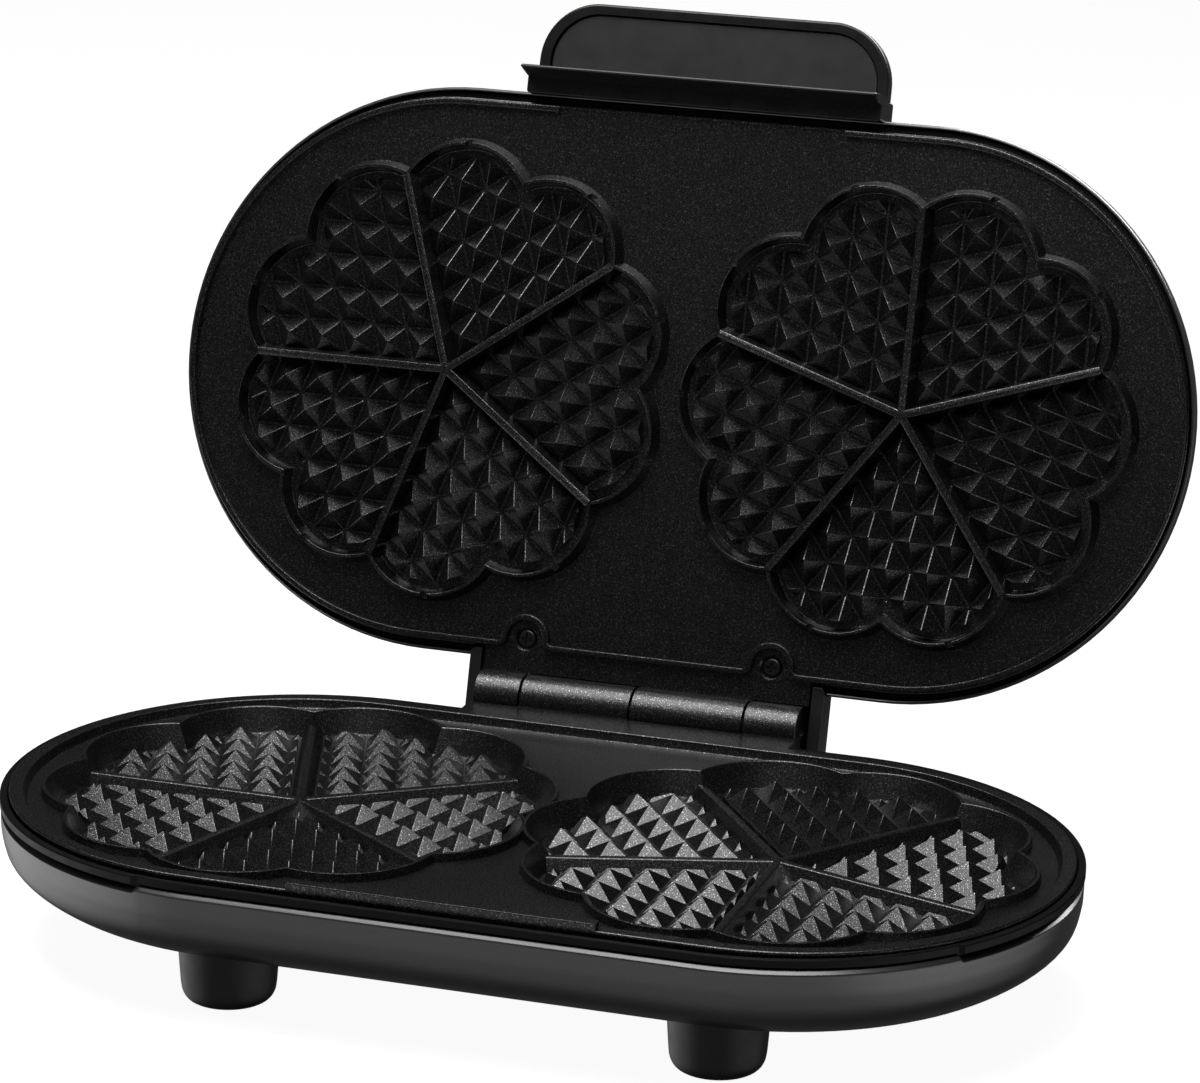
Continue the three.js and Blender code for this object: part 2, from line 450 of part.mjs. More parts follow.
function dTab(w, y0, y1, r, n = 7) {
  const p = [[-w, y0]];
  for (let i = 0; i <= n; i++) { const t = Math.PI + Math.PI / 2 * i / n; p.push([-w + r + r * Math.cos(t), y1 + r + r * Math.sin(t)]); }
  for (let i = 0; i <= n; i++) { const t = -Math.PI / 2 + Math.PI / 2 * i / n; p.push([w - r + r * Math.cos(t), y1 + r + r * Math.sin(t)]); }
  p.push([w, y0]);
  return p;
}
{
  let m = man(loft([at(dTab(65.7, -104, HANDLE_Y + 0.4, 21.6), 61.5), at(dTab(66.2, -104, HANDLE_Y, 22), 62.5), at(dTab(66.2, -104, HANDLE_Y, 22), 66.5), at(dTab(64.9, -104, HANDLE_Y + 1.3, 21), 68.3)]));
  m = m.subtract(prism(dTab(61.9, -113.2, HANDLE_Y + 3.8, 18.4), 60, 64.4));
  m = m.add(box(-66.7, -113.2, 41.8, 66.7, -111.2, 62.5)).add(box(-66.8, -111.5, 51.8, 66.8, -103.5, 69));
  for (const x of [-40, 40]) m = m.subtract(barY(1.9, -110, -100, x, 64, 8));
  add('handle', m, 'black', true);
}
add('handle_cover', prism(dTab(61.5, -113.7, HANDLE_Y + 4.2, 18), 62.6, 64.1), 'black', true);
for (const [s, x] of [['left', -40], ['right', 40]])
  add(`handle_screw_${s}`, union(barY(2.8, -99.3, -97.6, x, 64, 10), barY(1.6, -109, -99, x, 64, 8)), 'steel', true);
for (const [s, x, c] of [['power', -9, 'red'], ['ready', 9, 'green']])
  add(`${s}_lens`, union(prism(circle(3, x, -60, 12), 80.5, 84.7), prism(circle(4.4, x, -60, 12), 80.2, 81.6)), c, true);
add('lamp_board', union(box(-16, -67, 74.4, 16, -53, 76), prism(circle(2.4, -9, -60, 8), 75.5, 79.8), prism(circle(2.4, 9, -60, 8), 75.5, 79.8)), 'sheet', true);

export default root;
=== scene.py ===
# Twin heart-waffle maker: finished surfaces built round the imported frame.
import json
import math
import bpy
from mathutils import Matrix, Vector

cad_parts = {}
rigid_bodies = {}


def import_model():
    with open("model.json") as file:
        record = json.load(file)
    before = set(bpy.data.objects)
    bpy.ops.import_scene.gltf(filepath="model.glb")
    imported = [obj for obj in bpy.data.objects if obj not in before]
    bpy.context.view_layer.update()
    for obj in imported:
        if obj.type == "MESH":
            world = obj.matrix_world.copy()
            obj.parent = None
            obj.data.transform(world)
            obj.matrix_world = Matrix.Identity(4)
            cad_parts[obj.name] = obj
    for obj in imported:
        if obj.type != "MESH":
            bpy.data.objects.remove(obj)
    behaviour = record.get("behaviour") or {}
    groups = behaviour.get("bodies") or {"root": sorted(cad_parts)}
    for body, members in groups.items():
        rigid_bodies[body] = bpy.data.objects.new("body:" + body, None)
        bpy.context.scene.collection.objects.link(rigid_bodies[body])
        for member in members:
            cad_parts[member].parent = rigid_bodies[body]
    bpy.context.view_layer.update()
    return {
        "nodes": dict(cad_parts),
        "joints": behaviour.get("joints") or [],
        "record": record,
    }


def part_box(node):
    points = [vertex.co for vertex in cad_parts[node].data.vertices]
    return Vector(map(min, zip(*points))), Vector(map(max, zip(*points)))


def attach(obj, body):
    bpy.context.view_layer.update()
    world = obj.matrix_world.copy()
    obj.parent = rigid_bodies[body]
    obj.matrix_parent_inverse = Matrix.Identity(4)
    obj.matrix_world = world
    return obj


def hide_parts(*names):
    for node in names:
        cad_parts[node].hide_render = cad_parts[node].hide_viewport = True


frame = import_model()
PI = math.pi
MM = 0.001

# ---- where the frame is ---------------------------------------------------
HINGE_Y, HINGE_Z = 116.5, 52.0           # hinge axis in the drawing's own millimetres
_lo, _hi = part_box("hinge_pin")
SHIFT_Y = (_lo.y + _hi.y) / 2 / MM - HINGE_Y
SHIFT_Z = (_lo.z + _hi.z) / 2 / MM - HINGE_Z
OPEN = math.radians(frame["joints"][0]["range_deg"][1])

# ---- dimensions, millimetres ----------------------------------------------
LIP_Z = 51.5
MOULD_X = 86.15
CUSP_R, LOBE_R, LOBE_C = 80.0, 31.46, 56.62
END_X, BODY_Y = 89.0, -0.5
RIM_R, RIM_IN, RIM_Z = 97.5, 92.0, LIP_Z + 0.5
DECK_Z, PLATE_T = LIP_Z - 3, 3.0
CAV_Z, RIDGE_Z, APEX_Z = LIP_Z - 9.2, LIP_Z - 4.7, LIP_Z - 4.0
PITCH_LO, PITCH_UP = 12.66, 12.9
ROW_LO, ROW_UP = -4.5, 1.75
BARREL_R, PIN_R = 9.0, 2.5
KNUCKLES = [-61, -43.5, -1.5, 41, 61]
UP_WALL_Z, UP_RIDGE_Z = LIP_Z - 2, LIP_Z - 2.6
UP_DECK_Z, UP_FLOOR_Z, UP_APEX_Z = LIP_Z + 3.7, LIP_Z + 5, LIP_Z - 1.5
UP_BEAD_Z, UP_EDGE_R, UP_WALL_D = LIP_Z + 1.2, 99.6, -4.3
SHELL_X = 88.0
BOWL_X, LIDCAP_X = 86.6, 86.8
SCREW_X, SCREW_Y = 46.6, 95.0
TAB_X = 53.5
HANDLE_Y = -138.5
MOULDS = [(-MOULD_X, math.radians(-18), math.radians(-18)), (MOULD_X, math.radians(-36), 0.0)]


# ---- mesh helpers: a solid is (verts, faces) -------------------------------
def loft(rings, closed=False):
    """Skin through rings of equal count, counter-clockwise seen from above and rising."""
    n, m = len(rings[0]), len(rings)
    verts = [p for r in rings for p in r]
    faces = []
    for k in range(m if closed else m - 1):
        a, b = k * n, ((k + 1) % m) * n
        for i in range(n):
            j = (i + 1) % n
            faces.append((a + i, a + j, b + j, b + i))
    if not closed:
        faces.append(tuple(reversed(range(n))))
        faces.append(tuple(range((m - 1) * n, m * n)))
    return verts, faces


def at(pts, z):
    return [(p[0], p[1], z) for p in pts]


ARC = [i / 56 for i in range(57)]
# the shell's raised front edge starts and stops at two small steps
STEP_L, STEP_R = math.radians(259.3), math.radians(-38.8)


def stadium(r, cx=END_X, arc=ARC, extra=True, cy=BODY_Y):
    right = [-PI / 2 + PI * t for t in arc]
    left = [PI / 2 + PI * t for t in arc]
    if extra:
        e = math.radians(0.45)
        right = sorted(right + [STEP_R - e, STEP_R + e])
        left = sorted(left + [STEP_L - e, STEP_L + e])
    return ([(cx + r * math.cos(t), cy + r * math.sin(t)) for t in right] +
            [(-cx + r * math.cos(t), cy + r * math.sin(t)) for t in left])


def circle(r, cx=0.0, cy=0.0, n=32, ph=0.0):
    return [(cx + r * math.cos(ph + 2 * PI * i / n), cy + r * math.sin(ph + 2 * PI * i / n)) for i in range(n)]


def lobed(cx, ph, sgn, d, n=14):
    R = LOBE_R + d
    h = math.sqrt(R * R - (LOBE_C * math.sin(PI / 10)) ** 2)
    cusp = LOBE_C * math.cos(PI / 10) + h
    half = math.atan2(cusp * math.sin(PI / 10), cusp * math.cos(PI / 10) - LOBE_C)
    out = []
    for k in range(10):
        tm = ph + (k + 0.5) * PI / 5
        for i in range(n):
            b = -half + 2 * half * i / n
            u, v = R * math.sin(b), LOBE_C + R * math.cos(b)
            out.append((cx + u * math.cos(tm) + v * math.sin(tm), sgn * (-u * math.sin(tm) + v * math.cos(tm))))
    return out[::-1] if sgn > 0 else out


def make(solid, name="tmp"):
    me = bpy.data.meshes.new(name)
    me.from_pydata([tuple(v) for v in solid[0]], [], solid[1])
    me.update()
    o = bpy.data.objects.new(name, me)
    bpy.context.scene.collection.objects.link(o)
    return o


def join(solids):
    verts, faces = [], []
    for v, f in solids:
        k = len(verts)
        verts += v
        faces += [tuple(i + k for i in q) for q in f]
    return verts, faces


def cut(a, b, op):
    """a op b, both closed; b is used up."""
    before = (len(a.data.vertices), sum(v.co.x * 1.3 + v.co.y * 0.7 + v.co.z for v in a.data.vertices))
    m = a.modifiers.new("b", "BOOLEAN")
    m.operation, m.solver, m.object = op, "MANIFOLD", b
    me = bpy.data.meshes.new_from_object(a.evaluated_get(bpy.context.evaluated_depsgraph_get()))
    a.modifiers.remove(m)
    old, a.data = a.data, me
    bpy.data.meshes.remove(old)
    data = b.data
    bpy.data.objects.remove(b)
    bpy.data.meshes.remove(data)
    after = (len(me.vertices), sum(v.co.x * 1.3 + v.co.y * 0.7 + v.co.z for v in me.vertices))
    if before == after:
        raise RuntimeError("a cut changed nothing")
    return a


def plus(a, *solids):
    for s in solids:
        cut(a, s if isinstance(s, bpy.types.Object) else make(s), "UNION")
    return a


def minus(a, *solids):
    for s in solids:
        cut(a, s if isinstance(s, bpy.types.Object) else make(s), "DIFFERENCE")
    return a


def prism(pts, z0, z1):
    return loft([at(pts, z0), at(pts, z1)])


def area(pts):
    return sum(pts[i - 1][0] * pts[i][1] - pts[i][0] * pts[i - 1][1] for i in range(len(pts))) / 2


def roundrect(x0, y0, x1, y1, r, n=5):
    p = []
    for cx, cy, a in ((x1 - r, y0 + r, -90), (x1 - r, y1 - r, 0), (x0 + r, y1 - r, 90), (x0 + r, y0 + r, 180)):
        for i in range(n + 1):
            t = math.radians(a + 90 * i / n)
            p.append((cx + r * math.cos(t), cy + r * math.sin(t)))
    return p


def block(x0, y0, z0, x1, y1, z1, r=0.6, c=0.4, top=True, bottom=True):
    """Box with rounded uprights and softened top and bottom edges."""
    rings = []
    s = [(c, 0), (c * 0.29, c * 0.29), (0, c)]
    if bottom:
        rings += [at(roundrect(x0 + i, y0 + i, x1 - i, y1 - i, max(r - i, 0.05)), z0 + h) for i, h in s]
    else:
        rings.append(at(roundrect(x0, y0, x1, y1, r), z0))
    if top:
        rings += [at(roundrect(x0 + i, y0 + i, x1 - i, y1 - i, max(r - i, 0.05)), z1 - h) for i, h in reversed(s)]
    else:
        rings.append(at(roundrect(x0, y0, x1, y1, r), z1))
    return loft(rings)


def box(x0, y0, z0, x1, y1, z1):
    return prism([(x0, y0), (x1, y0), (x1, y1), (x0, y1)], z0, z1)


def bar_x(r, x0, x1, y, z, n=48, c=0.0):
    s = [(r - c, x0), (r - c * 0.3, x0 + c * 0.3), (r, x0 + c), (r, x1 - c), (r - c * 0.3, x1 - c * 0.3), (r - c, x1)] if c else [(r, x0), (r, x1)]
    v, f = loft([at(circle(q, 0, 0, n), x) for q, x in s])
    return [(w, u + y, t + z) for u, t, w in v], f


def bar_y(prof, x, z, n=32):
    """Turned piece along Y; prof is (radius, y), y rising."""
    v, f = loft([at(circle(q, 0, 0, n), y) for q, y in prof])
    return [(t + x, w, u + z) for u, t, w in v], f


def turned(prof, x, y, n=32):
    return loft([at(circle(q, x, y, n), z) for q, z in prof])


def spline(pts, sub=5):
    """Smooth curve through profile points."""
    out = []
    for i in range(len(pts) - 1):
        p0, p1, p2, p3 = pts[max(i - 1, 0)], pts[i], pts[i + 1], pts[min(i + 2, len(pts) - 1)]
        for k in range(sub):
            t = k / sub
            out.append(tuple(0.5 * (2 * b + (c - a) * t + (2 * a - 5 * b + 4 * c - d) * t * t + (3 * b - a - 3 * c + d) * t ** 3)
                             for a, b, c, d in zip(p0, p1, p2, p3)))
    return out + [tuple(pts[-1])]


def arc2(cx, cz, r, a0, a1, n=4):
    return [(cx + r * math.cos(math.radians(a0 + (a1 - a0) * i / n)), cz + r * math.sin(math.radians(a0 + (a1 - a0) * i / n))) for i in range(n + 1)]


def sector(cx, sgn, t1, z0, z1, inset):
    """Heart-shaped share of the mould between two ridges, inset from both."""
    t2, R = t1 + 2 * PI / 5, 130.0
    tm, k = (t1 + t2) / 2, inset / math.sin(PI / 5)
    o = (k * math.sin(tm), k * math.cos(tm))
    pts = [o, (o[0] + R * math.sin(t1), o[1] + R * math.cos(t1)), (o[0] + R * 1.3 * math.sin(tm), o[1] + R * 1.3 * math.cos(tm)),
           (o[0] + R * math.sin(t2), o[1] + R * math.cos(t2))]
    pts = [(cx + x, sgn * y) for x, y in pts]
    if area(pts) < 0:
        pts.reverse()
    return prism(pts, z0, z1)


def pyramid(c, a, b, z_base, z_floor, z_tip, nick=0.34, tip=0.05):
    """Rhombic pyramid with softened arrises; a and b are its half edges."""
    corners = [(-1, -1), (1, -1), (1, 1), (-1, 1)]
    P = [(c[0] + s * a[0] + t * b[0], c[1] + s * a[1] + t * b[1]) for s, t in corners]
    if area(P) < 0:
        P.reverse()
    ring, top = [], []
    for i in range(4):
        q, p, r = P[i - 1], P[i], P[(i + 1) % 4]
        for o in (q, r):
            l = math.hypot(o[0] - p[0], o[1] - p[1])
            d = ((o[0] - p[0]) / l * nick, (o[1] - p[1]) / l * nick)
            ring.append((p[0] + d[0], p[1] + d[1]))
            top.append((c[0] + (p[0] - c[0]) * tip + d[0] * 0.55, c[1] + (p[1] - c[1]) * tip + d[1] * 0.55))
    rings = [at(ring, z_base), at(ring, z_floor), at(top, z_tip)]
    if z_tip < z_floor:
        rings.reverse()
    return loft(rings)


def hearts(cx, sgn, ph, row, pitch, gap, zs, clip_d, inset):
    """All five clipped fields of pyramids in one mould, as one object."""
    z_base, z_floor, z_tip = zs
    lo, hi = min(z_floor, z_tip) - 2, max(z_floor, z_tip) + 2
    if z_tip > z_floor:
        lo = z_floor - 0.6
    else:
        hi = z_floor + 0.6
    out = None
    for k in range(5):
        t1 = ph + k * 2 * PI / 5
        t2, tm = t1 + 2 * PI / 5, t1 + PI / 5
        u1, u2 = (math.sin(t1), math.cos(t1)), (math.sin(t2), math.cos(t2))
        off = row / math.sin(2 * PI / 5)
        h = (pitch - gap) / 2
        cells = []
        for i in range(-1, 9):
            for j in range(-1, 9):
                p, q = off + pitch * (i + 0.5), off + pitch * (j + 0.5)
                x, y = u1[0] * p + u2[0] * q, u1[1] * p + u2[1] * q
                if math.hypot(x, y) > 90 or x * math.sin(tm) + y * math.cos(tm) < 0:
                    continue
                if min(p, q) * math.sin(2 * PI / 5) < inset - pitch / 2:
                    continue
                cells.append(pyramid((cx + x, sgn * y), (u1[0] * h, sgn * u1[1] * h), (u2[0] * h, sgn * u2[1] * h), z_base, z_floor, z_tip))
        o = make(join(cells))
        clip = make(prism(lobed(cx, ph, sgn, clip_d, 8), lo, hi))
        cut(clip, make(sector(cx, sgn, t1, lo - 1, hi + 1, inset)), "INTERSECT")
        cut(o, clip, "INTERSECT")
        if out is None:
            out = o
        else:
            out = merge(out, o)
    return out


def merge(a, b):
    """Puts two disjoint objects into one mesh."""
    s = []
    for o in (a, b):
        s.append(([tuple(v.co) for v in o.data.vertices], [tuple(p.vertices) for p in o.data.polygons]))
        me = o.data
        bpy.data.objects.remove(o)
        bpy.data.meshes.remove(me)
    return make(join(s))


def ridge(cx, sgn, t, r0, r1, section):
    """Straight rib; section is (half width, z) from its foot to its crest."""
    d = (math.sin(t), sgn * math.cos(t))
    n = (-d[1], d[0])
    pts = [(-w, z) for w, z in section] + [(w, z) for w, z in reversed(section) if w > 0]
    if area(pts) > 0:
        pts.reverse()
    a = [(cx + d[0] * r0 + n[0] * w, d[1] * r0 + n[1] * w, z) for w, z in pts]
    b = [(cx + d[0] * r1 + n[0] * w, d[1] * r1 + n[1] * w, z) for w, z in pts]
    v, f = loft([a, b])
    return orient(v, f)


def orient(v, f):
    vol = 0.0
    for q in f:
        a = Vector(v[q[0]])
        for i in range(1, len(q) - 1):
            vol += a.dot(Vector(v[q[i]]).cross(Vector(v[q[i + 1]])))
    return (v, f) if vol > 0 else (v, [tuple(reversed(q)) for q in f])


def sweep(path, section):
    """Closed strip along a closed path; section is (offset outwards, z)."""
    n, rows = len(path), []
    for w, z in section:
        row = []
        for i in range(n):
            a, b, c = path[i - 1], path[i], path[(i + 1) % n]
            dx, dy = c[0] - a[0], c[1] - a[1]
            l = math.hypot(dx, dy)
            row.append((b[0] + dy / l * w, b[1] - dx / l * w, z))
        rows.append(row)
    return orient(*loft(rows, True))


# ---- materials --------------------------------------------------------------
def node_material(name, color, rough, metal=0.0, spec=0.5, coat=0.0, coat_rough=0.1, transmission=0.0, ior=1.5):
    m = bpy.data.materials.new(name)
    m.use_nodes = True
    nt = m.node_tree
    b = nt.nodes["Principled BSDF"]
    b.inputs["Base Color"].default_value = (*color, 1)
    b.inputs["Roughness"].default_value = rough
    b.inputs["Metallic"].default_value = metal
    b.inputs["Specular IOR Level"].default_value = spec
    b.inputs["Coat Weight"].default_value = coat
    b.inputs["Coat Roughness"].default_value = coat_rough
    b.inputs["Transmission Weight"].default_value = transmission
    b.inputs["IOR"].default_value = ior
    return m, nt, b


def noise(nt, scale, detail=4.0, rough=0.6, stretch=None, dist=0.0):
    """Noise in object space, scale in features per metre."""
    tc = nt.nodes.new("ShaderNodeTexCoord")
    out = tc.outputs["Object"]
    if stretch:
        mp = nt.nodes.new("ShaderNodeMapping")
        mp.inputs["Scale"].default_value = stretch
        nt.links.new(out, mp.inputs["Vector"])
        out = mp.outputs["Vector"]
    n = nt.nodes.new("ShaderNodeTexNoise")
    n.inputs["Scale"].default_value = scale
    n.inputs["Detail"].default_value = detail
    n.inputs["Roughness"].default_value = rough
    n.inputs["Distortion"].default_value = dist
    nt.links.new(out, n.inputs["Vector"])
    return n.outputs["Fac"]


def remap(nt, src, lo, hi, a, b):
    r = nt.nodes.new("ShaderNodeMapRange")
    r.inputs["From Min"].default_value, r.inputs["From Max"].default_value = lo, hi
    r.inputs["To Min"].default_value, r.inputs["To Max"].default_value = a, b
    nt.links.new(src, r.inputs["Value"])
    return r.outputs["Result"]


def ramp(nt, src, stops):
    r = nt.nodes.new("ShaderNodeValToRGB")
    e = r.color_ramp.elements
    while len(e) < len(stops):
        e.new(0.5)
    for el, (p, c) in zip(e, stops):
        el.position, el.color = p, (*c, 1)
    nt.links.new(src, r.inputs["Fac"])
    return r.outputs["Color"]


def mixed(nt, fac, a, b, mode="MIX"):
    m = nt.nodes.new("ShaderNodeMix")
    m.data_type, m.blend_type = "RGBA", mode
    for sock, v in (("Factor", fac), (6, a), (7, b)):
        s = m.inputs[0] if sock == "Factor" else m.inputs[sock]
        if isinstance(v, bpy.types.NodeSocket):
            nt.links.new(v, s)
        else:
            s.default_value = (*v, 1) if isinstance(v, tuple) else v
    return m.outputs[2]


def bump(nt, b, heights):
    """heights: (source, strength, distance); chained."""
    last = None
    for src, strength, dist in heights:
        n = nt.nodes.new("ShaderNodeBump")
        n.inputs["Strength"].default_value = strength
        n.inputs["Distance"].default_value = dist
        nt.links.new(src, n.inputs["Height"])
        if last:
            nt.links.new(last, n.inputs["Normal"])
        last = n.outputs["Normal"]
    nt.links.new(last, b.inputs["Normal"])


def mat_casting(name="nonstick_casting"):
    """Non-stick coating on cast metal: near black, fine glittering grit, slightly rubbed high spots."""
    m, nt, b = node_material(name, (0.005, 0.005, 0.0052), 0.28, 0.0, 0.8)
    grit = noise(nt, 2100, 2.0, 0.7)
    cloud = noise(nt, 55, 5.0, 0.55)
    base = ramp(nt, grit, [(0.50, (0.0016, 0.0016, 0.0017)), (0.575, (0.011, 0.011, 0.0113)), (0.66, (0.40, 0.40, 0.405))])
    nt.links.new(remap(nt, grit, 0.54, 0.62, 0.0, 1.0), b.inputs["Metallic"])
    shade = ramp(nt, cloud, [(0.3, (0.82, 0.82, 0.82)), (0.7, (1.0, 1.0, 1.0))])
    nt.links.new(mixed(nt, 1.0, base, shade, "MULTIPLY"), b.inputs["Base Color"])
    nt.links.new(remap(nt, grit, 0.3, 0.7, 0.25, 0.32), b.inputs["Roughness"])
    bump(nt, b, [(grit, 0.34, 0.00016), (noise(nt, 700, 3.0, 0.6), 0.25, 0.0002)])
    return m


def mat_shell(name="grey_shell"):
    """Dark metallic lacquer over a smooth moulding, faint flake and long soft smears."""
    m, nt, b = node_material(name, (0.11, 0.11, 0.113), 0.32, 0.7, 0.5, coat=0.25, coat_rough=0.18)
    flake = noise(nt, 3800, 1.0, 0.5)
    smear = noise(nt, 22, 4.0, 0.5, (1.0, 1.0, 3.0))
    c = ramp(nt, flake, [(0.3, (0.10, 0.10, 0.103)), (0.7, (0.13, 0.13, 0.133))])
    nt.links.new(c, b.inputs["Base Color"])
    nt.links.new(remap(nt, smear, 0.3, 0.7, 0.27, 0.33), b.inputs["Roughness"])
    bump(nt, b, [(noise(nt, 900, 2.0), 0.03, 0.0002)])
    return m


def mat_plastic(name, level, rough, grain=0.12, scale=1500, coat=0.0, spec=0.5):
    """Moulded black plastic with fine spark-eroded grain."""
    m, nt, b = node_material(name, (level, level, level * 1.03), rough, 0.0, spec, coat=coat, coat_rough=0.12)
    g = noise(nt, scale, 3.0, 0.65)
    cloud = noise(nt, 40, 4.0, 0.6)
    c = ramp(nt, cloud, [(0.25, (level * 0.85,) * 3), (0.75, (level * 1.2, level * 1.2, level * 1.24))])
    nt.links.new(c, b.inputs["Base Color"])
    nt.links.new(remap(nt, noise(nt, 160, 5.0, 0.6), 0.3, 0.7, rough - 0.05, rough + 0.06), b.inputs["Roughness"])
    bump(nt, b, [(g, grain, 0.0002)])
    return m


def mat_metal(name, color, rough, brushed=None, scale=1400):
    m, nt, b = node_material(name, color, rough, 0.95)
    g = noise(nt, scale, 3.0, 0.6, brushed)
    dark = tuple(v * 0.72 for v in color)
    nt.links.new(ramp(nt, noise(nt, 90, 5.0, 0.6), [(0.3, dark), (0.7, color)]), b.inputs["Base Color"])
    nt.links.new(remap(nt, g, 0.3, 0.7, rough - 0.07, rough + 0.1), b.inputs["Roughness"])
    bump(nt, b, [(g, 0.12, 0.0002)])
    return m


def mat_ceramic(name="ceramic"):
    m, nt, b = node_material(name, (0.76, 0.73, 0.66), 0.55)
    nt.links.new(ramp(nt, noise(nt, 120, 5.0), [(0.3, (0.68, 0.65, 0.58)), (0.7, (0.80, 0.77, 0.70))]), b.inputs["Base Color"])
    bump(nt, b, [(noise(nt, 1800, 3.0), 0.2, 0.0002)])
    return m


def mat_board(name="circuit_board"):
    m, nt, b = node_material(name, (0.03, 0.16, 0.07), 0.45)
    nt.links.new(ramp(nt, noise(nt, 400, 2.0, 0.5, (1, 6, 1)), [(0.45, (0.02, 0.13, 0.05)), (0.6, (0.05, 0.22, 0.09))]), b.inputs["Base Color"])
    bump(nt, b, [(noise(nt, 900, 2.0), 0.2, 0.0002)])
    return m


def mat_lens(name, color):
    m, nt, b = node_material(name, color, 0.12, 0.0, 0.5, coat=0.5, coat_rough=0.05)
    dark = tuple(v * 0.6 for v in color)
    nt.links.new(ramp(nt, noise(nt, 300, 3.0), [(0.3, dark), (0.7, color)]), b.inputs["Base Color"])
    bump(nt, b, [(noise(nt, 500, 2.0), 0.04, 0.0002)])
    return m


M = {
    "nonstick_casting": mat_casting(),
    "grey_shell": mat_shell(),
    "black_plastic": mat_plastic("black_plastic", 0.018, 0.42),
    "black_gloss": mat_plastic("black_gloss", 0.012, 0.28, grain=0.08),
    "foot_rubber": mat_plastic("foot_rubber", 0.002, 0.36, grain=0.06, scale=900, spec=0.28),
    # trim-ring black: real black plastic, made darker and less shiny still as painted shade of the gap between plate
    # rim and shell
    "black_ring_painted_gap_shade": mat_plastic("black_ring_painted_gap_shade", 0.003, 0.45, grain=0.08, spec=0.2),
    "insert_black": mat_plastic("insert_black", 0.030, 0.46, grain=0.16),
    "zinc_steel": mat_metal("zinc_steel", (0.30, 0.30, 0.31), 0.36),
    "dark_steel": mat_metal("dark_steel", (0.085, 0.085, 0.09), 0.34),
    "reflector_sheet": mat_metal("reflector_sheet", (0.62, 0.63, 0.65), 0.32, (1, 8, 1)),
    "heater_sheath": mat_metal("heater_sheath", (0.17, 0.15, 0.13), 0.5),
    "red_lens": mat_lens("red_lens", (0.55, 0.02, 0.015)),
    "green_lens": mat_lens("green_lens", (0.02, 0.36, 0.09)),
    "circuit_board": mat_board(),
    "ceramic": mat_ceramic(),
}


def to_frame(o, lid):
    """Millimetre drawing to metres in the frame, lid pieces swung open."""
    m = Matrix.Identity(4)
    if lid:
        m = (Matrix.Translation((0, HINGE_Y, HINGE_Z)) @ Matrix.Rotation(-OPEN, 4, "X") @ Matrix.Translation((0, -HINGE_Y, -HINGE_Z)))
    o.data.transform(Matrix.Scale(MM, 4) @ Matrix.Translation((0, SHIFT_Y, SHIFT_Z)) @ m)


def piece(o, name, body, nodes, slot, mat=None, lid=False, angle=32.0, weighted=True):
    if not isinstance(o, bpy.types.Object):
        o = make(o)
    to_frame(o, lid)
    o.name, o.data.name = name, name
    me = o.data
    me.materials.clear()
    me.materials.append(M[mat or slot])
    me.polygons.foreach_set("material_index", [0] * len(me.polygons))
    me.polygons.foreach_set("use_smooth", [True] * len(me.polygons))
    me.set_sharp_from_angle(angle=math.radians(angle))
    me.update()
    if weighted:
        w = o.modifiers.new("normals", "WEIGHTED_NORMAL")
        w.keep_sharp, w.weight, w.mode = True, 60, "FACE_AREA"
    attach(o, body)
    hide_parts(*nodes)
    return o


